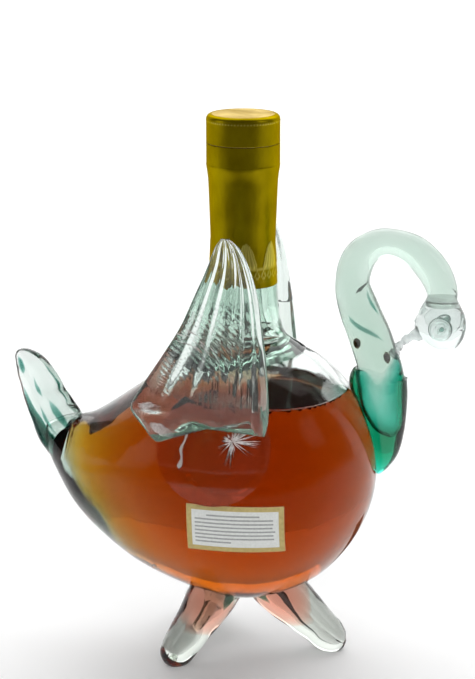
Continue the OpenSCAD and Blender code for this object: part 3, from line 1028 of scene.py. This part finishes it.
def drip():
    """The thread of glass with a bead at its end, below the wing's corner."""
    path = [(-14.8, 118.5), (-15.4, 115), (-17.2, 111), (-16.8, 107), (-17.6, 103.8), (-17.8, 102.2)]
    radii = [0.9, 0.45, 0.75, 0.45, 1.2, 0.3]
    line = smooth([[x, z, r] for (x, z), r in zip(path, radii)], per=8)
    sides = 16
    around = [TURN * i / sides for i in range(sides)]
    rings = []
    for x, z, r in line:
        base = on_pad(x * MM, z * MM, 0.8 * MM)
        knot = r * MM * (1 + 0.25 * noise.noise((z * 1.4, 2, 2)))
        rings.append([(base.x + knot * math.cos(a), base.y + knot * math.sin(a), base.z) for a in around])
    return skin("drip_thread", np.array(rings))


def seed_bubble():
    """A bubble that rose to the skin of the body."""
    x, z = -34.2 * MM, 46 * MM
    half_width, half_height, lean = 1.1 * MM, 1.7 * MM, 0.6
    bubble = lathe("seed_bubble", arc(half_width, half_height, -1.5, 1.5, 15), sides=24)
    bubble.data.transform(Matrix.Translation((x, -side_y(x, z), z)) @ Matrix.Rotation(lean, 4, "Y"))
    return bubble


def streak(rows):
    """A drop or thread of coloured glass inside a solid piece, from rows of x, y, z and radius."""
    line = smooth(rows, per=8)
    least = 0.05
    rings = []
    for k, (x, y, z, r) in enumerate(line):
        ahead = Vector(line[min(k + 1, len(line) - 1)][:3]) - Vector(line[max(k - 1, 0)][:3])
        side = ahead.cross(Vector((0, 1, 0))).normalized()
        deep = ahead.cross(side).normalized()
        rings.append(ring_points(Vector((x, y, z)), side, deep, max(r, least), sides=20))
    return skin("streak", np.array(rings) * MM)


def streaks(name, like, paint, *lines):
    decorate(joined(name, [streak(rows) for rows in lines]), like, paint)


def patch(name, x0, x1, z0, z1, lift, thickness, steps=(24, 12)):
    """A thin sheet laid on the body's near side."""
    xs = np.linspace(x0, x1, steps[0] + 1)
    zs = np.linspace(z0, z1, steps[1] + 1)
    rings = []
    for x in xs:
        outer = [(x, -side_y(x, z) - lift - thickness, z) for z in zs]
        inner = [(x, -side_y(x, z) - lift, z) for z in zs[::-1]]
        rings.append(outer + inner)
    return folded_skin(name, np.array(rings))


def folded_skin(name, rings):
    """A closed skin over rings that run out along one face and back along the other."""
    count, sides, _ = rings.shape
    faces = band_faces(count, sides)
    for start in (0, (count - 1) * sides):
        for i in range(sides // 2 - 1):
            faces.append((start + i, start + i + 1, start + sides - 2 - i, start + sides - 1 - i))
    sheet = mesh_object(name, rings.reshape(-1, 3), faces)
    sheet.data.set_sharp_from_angle(angle=SHEET_SHARP)
    return sheet


def label():
    """White paper with a gold border and plain grey bars in place of print."""
    x0, x1, z0, z1 = label_lo.x, label_hi.x, label_lo.z, label_hi.z
    paper = patch("label_paper", x0, x1, z0, z1, 0.08 * MM, 0.2 * MM)
    border = 2.4 * MM
    face, ink = 0.28 * MM, 0.05 * MM
    strips = [
        patch("edge", x0, x1, z1 - border, z1, face, ink, (24, 2)),
        patch("edge", x0, x1, z0, z0 + border, face, ink, (24, 2)),
        patch("edge", x0, x0 + border, z0 + border, z1 - border, face, ink, (3, 12)),
        patch("edge", x1 - border, x1, z0 + border, z1 - border, face, ink, (3, 12)),
    ]
    edge = joined("label_border", strips)
    bars = []
    lines = 8
    inner = border + 1.5 * MM
    width = x1 - x0 - 2 * inner
    pitch = (z1 - z0 - 2 * inner) / lines
    for k in range(lines):
        z = z1 - inner - (k + 0.5) * pitch
        end = 0.45 if k == lines - 1 else 1 - rng.uniform(0, 0.05)
        indent = 0.3 if k == 0 else 0
        at = x0 + inner + indent * width / 2
        stop = x0 + inner + width * (end - indent / 2)
        bars.append(patch("bar", at, stop, z - pitch * 0.2, z + pitch * 0.2, face, ink, (16, 1)))
    return paper, edge, joined("label_bars", bars)


# ---- build ----

stand_for(body_glass(), "body_shell", BLOWN)
stand_for(spirit(), "spirit_fill", SPIRIT)
stand_for(bottle_neck(), "bottle_neck", NECK)
stand_for(gather(), "breast_gather", GREEN)
stand_for(swan_neck(), "swan_neck", DRAWN)
stand_for(swan_head(), "swan_head", PALE)
stand_for(beak(), "beak", MILKY)
stand_for(tail(), "tail", CLEAR)
for foot_node in FOOT_TURNS:
    stand_for(foot(foot_node), foot_node, GREYED_FOOT_GLASS)

for make, node, paint in ((wing_pad, "wing_pad", FUSED), (wing, "wing", PRESSED), (eye, "eye", CLEAR)):
    near = make()
    far = mirrored(near, node + "_left_glass")
    stand_for(near, node + "_right", paint)
    stand_for(far, node + "_left", paint)
near_pupil = pupil()
decorate(mirrored(near_pupil, "eye_left_pupil"), "eye_left", TEAL)
decorate(near_pupil, "eye_right", TEAL)

stand_for(capsule_skirt(), "capsule_skirt", FOIL)
stand_for(capsule_cap(), "capsule_cap", FOIL)
stand_for(capsule_disc(), "capsule_disc", DISC_FOIL)

for node, paint in (("lip_ring", CLEAR), ("cork_shank", CORK), ("stopper_head", OAK)):
    mesh = frame["nodes"][node].data
    mesh.materials.clear()
    mesh.materials.append(paint)

decorate(crackle_star(), "wing_pad_right", CRACKLE_AND_GLINT_WHITE)
decorate(drip(), "wing_pad_right", MILKY)
# White needles over the near wing: painted glints
decorate(wing_painted_glints(), "wing_right", CRACKLE_AND_GLINT_WHITE)
streaks(
    "neck_teal_streaks", "swan_neck", TEAL_CORE,
    [[53, -6, 163, 0.1], [54.5, -6.5, 160.5, 0.8], [58, -6, 157.5, 1.1],
     [63, -5, 154.5, 1], [69, -4, 150.5, 0.1]],
    [[60.5, -3, 175, 0.1], [61.5, -4, 171, 0.7], [64, -5, 167, 0.8], [67, -4, 162.5, 0.1]],
)
streaks(
    "neck_olive_spots", "swan_neck", OLIVE_CORE,
    [[57, -6, 152.5, 0.1], [57, -6, 151, 1.7], [57.2, -6, 148.5, 1.6], [57.6, -6, 147, 0.1]],
    [[69.5, -5, 146, 0.1], [70, -5, 144.5, 1.4], [70.6, -5, 142, 1.4], [71, -5, 140, 0.1]],
)
streaks(
    "tail_teal_streaks", "tail", TEAL_CORE,
    [[-84, -4, 90, 0.1], [-88.5, -4, 96, 3.4], [-93.5, -3, 104, 2.8],
     [-98, -2, 113, 1.8], [-101.3, -2, 123, 0.1]],
    [[-84, -5, 99, 0.1], [-87, -5, 103, 0.7], [-90.5, -5, 108, 0.9], [-93, -5, 114, 0.1]],
    [[-91.5, -4, 118, 0.1], [-93.5, -4, 121, 1], [-95, -4, 124, 0.7], [-96, -4, 128, 0.1]],
    [[-80, -3, 100, 0.1], [-82, -3, 105, 1.2], [-86, -3, 111, 1], [-89, -3, 117, 0.1]],
    [[-104, -0.5, 136.5, 0.1], [-102.6, -1, 134.5, 1.1], [-101.6, -1.2, 131, 1.1], [-101, -1, 128, 0.1]],
)
streaks(
    "gather_teal_streak", "breast_gather", TEAL_CORE,
    [[57.6, -3, 129, 0.1], [58.6, -4, 124, 1.1], [60.3, -4, 114, 1.3],
     [62.5, -4, 104, 1.3], [66, -3, 95, 0.1]],
)
streaks(
    "gather_brown_streak", "breast_gather", BROWN_CORE,
    [[77.6, -2, 122, 0.1], [77.8, -2, 116, 1.5], [77, -2, 108, 1.8], [75.4, -2, 101, 1.5], [73, -2, 95, 0.1]],
)
# Pink cores in the tops of the near feet: painted light from the amber spirit
streaks(
    "foot_front_painted_caustic", "foot_front", CAUSTIC_PINK_CORE,
    [[13, -2, 33, 0.1], [17, -2.5, 29, 8], [25, -3.5, 22, 8.3], [32, -5, 16, 5], [37, -5, 12, 0.1]],
)
streaks(
    "foot_back_right_painted_caustic", "foot_back_right", CAUSTIC_PINK_CORE,
    [[-6, -10, 33, 0.1], [-8.5, -14.5, 28, 8], [-13, -21, 21, 8],
     [-17, -26.5, 15.5, 5], [-19.5, -30, 12, 0.1]],
)
streaks(
    "foot_front_teal", "foot_front", TEAL_CORE,
    [[9, -5, 31, 0.1], [13, -5, 27, 1.6], [18, -6, 22.5, 0.1]],
)
streaks(
    "foot_back_right_teal", "foot_back_right", TEAL_CORE,
    [[-2, -12, 30, 0.1], [-4, -14, 26, 1.6], [-7, -16, 21, 0.1]],
)
decorate(seed_bubble(), "body_shell", MILKY)
paper, border, bars = label()
stand_for(paper, "back_label", PAPER)
decorate(border, "back_label", GOLD_INK)
decorate(bars, "back_label", GREY_INK)

# ---- studio ----

WHITE = (1, 1, 1, 1)


def plane(name, size_x, size_y, place, paint, turn=(0, 0, 0)):
    corners = [(-1, -1), (1, -1), (1, 1), (-1, 1)]
    sheet = mesh_object(name, [(x * size_x / 2, y * size_y / 2, 0) for x, y in corners], [(0, 1, 2, 3)])
    sheet.location = place
    sheet.rotation_euler = turn
    sheet.data.materials.append(paint)
    return sheet


def flag(name, size_x, size_y, place, turn=(0, 0, 0)):
    """A black card that only reflections and refractions see, for the dark edges of the glass."""
    card = plane(name, size_x, size_y, place, BLACK_CARD, turn)
    card.visible_camera = False
    card.visible_shadow = False
    card.visible_diffuse = False


def white_paint(name, strength, grain=0.02 * MM):
    """Matt white with an even glow of that strength."""
    paint = matt_paint(name, (0.88, 0.88, 0.88), (0.92, 0.92, 0.92), 4, rough=(0.7, 0.8), grain=grain)
    put(paint.node_tree.nodes["Principled BSDF"], {"Emission Color": WHITE, "Emission Strength": strength})
    return paint


BLACK_CARD = matt_paint("black_card", (0.01, 0.01, 0.01), (0.015, 0.015, 0.015), 20, rough=(0.9, 1))
FLOOR_WHITE = white_paint("floor_white", 0.12, grain=0.01 * MM)
WALL_WHITE = white_paint("wall_white", 0.8)

under_feet = -0.0002
plane("floor", 14, 14, (0, 3, under_feet), FLOOR_WHITE)
plane("wall", 14, 5, (0, 3.2, 2.5), WALL_WHITE, (math.pi / 2, 0, 0))
flag("front_flag", 3, 1.3, (0, -1.07, 0.001))
# The far and shoulder flags are painted shade: black cards that darken what is seen through the spirit and
# its air space, in place of the shadow on the floor under the decanter
flag("far_flag", 0.12, 0.05, (0.05, 0.105, 0.0006))
shoulder_slope = math.radians(14)
flag("shoulder_flag", 0.1, 0.07, (-0.01, 0.092, FILL + 0.021), (-shoulder_slope, 0, 0))

world = bpy.data.worlds.new("studio")
world.use_nodes = True
put(world.node_tree.nodes["Background"], {"Color": WHITE, "Strength": 0.1})
scene.world = world

LIGHT_AIM = (0, 0, 0.1)


def soft_box(name, place, size, glare):
    """A soft box turned to the decanter. glare is how bright its face is beside white paper."""
    data = bpy.data.lights.new(name, "AREA")
    data.shape = "RECTANGLE"
    data.size, data.size_y = size
    data.energy = glare * math.pi * size[0] * size[1]
    light = add_object(name, data)
    light.location = place
    light.rotation_euler = (Vector(LIGHT_AIM) - Vector(place)).to_track_quat("-Z", "Y").to_euler()
    return light


soft_box("overhead", (0, 1.5, 2.4), (4.4, 3.4), 1.75)
soft_box("left_box", (-1.3, -0.45, 0.55), (0.55, 0.6), 1.4)
soft_box("right_box", (1.2, -0.4, 0.85), (0.55, 0.6), 1.4)
fill = soft_box("front_fill", (0.2, -2, 1.6), (2.4, 1.6), 1.4)
fill.visible_glossy = False
fill.visible_transmission = False

TARGET = Vector(((cad_size[0].x + cad_size[1].x) / 2, 0, 0.148))
AZIMUTH, ELEVATION, DISTANCE = math.radians(8), math.radians(14), 1.2
back = Vector((
    math.sin(AZIMUTH) * math.cos(ELEVATION),
    -math.cos(AZIMUTH) * math.cos(ELEVATION),
    math.sin(ELEVATION),
))
camera_data = bpy.data.cameras.new("camera")
camera_data.lens = 136.5
camera = add_object("camera", camera_data)
camera.location = TARGET + back * DISTANCE
camera.rotation_euler = (-back).to_track_quat("-Z", "Y").to_euler()
scene.camera = camera

scene.view_settings.view_transform = "Standard"
scene.cycles.max_bounces = 32
scene.cycles.transmission_bounces = 32
scene.cycles.glossy_bounces = 12
scene.cycles.transparent_max_bounces = 16
scene.cycles.use_denoising = True
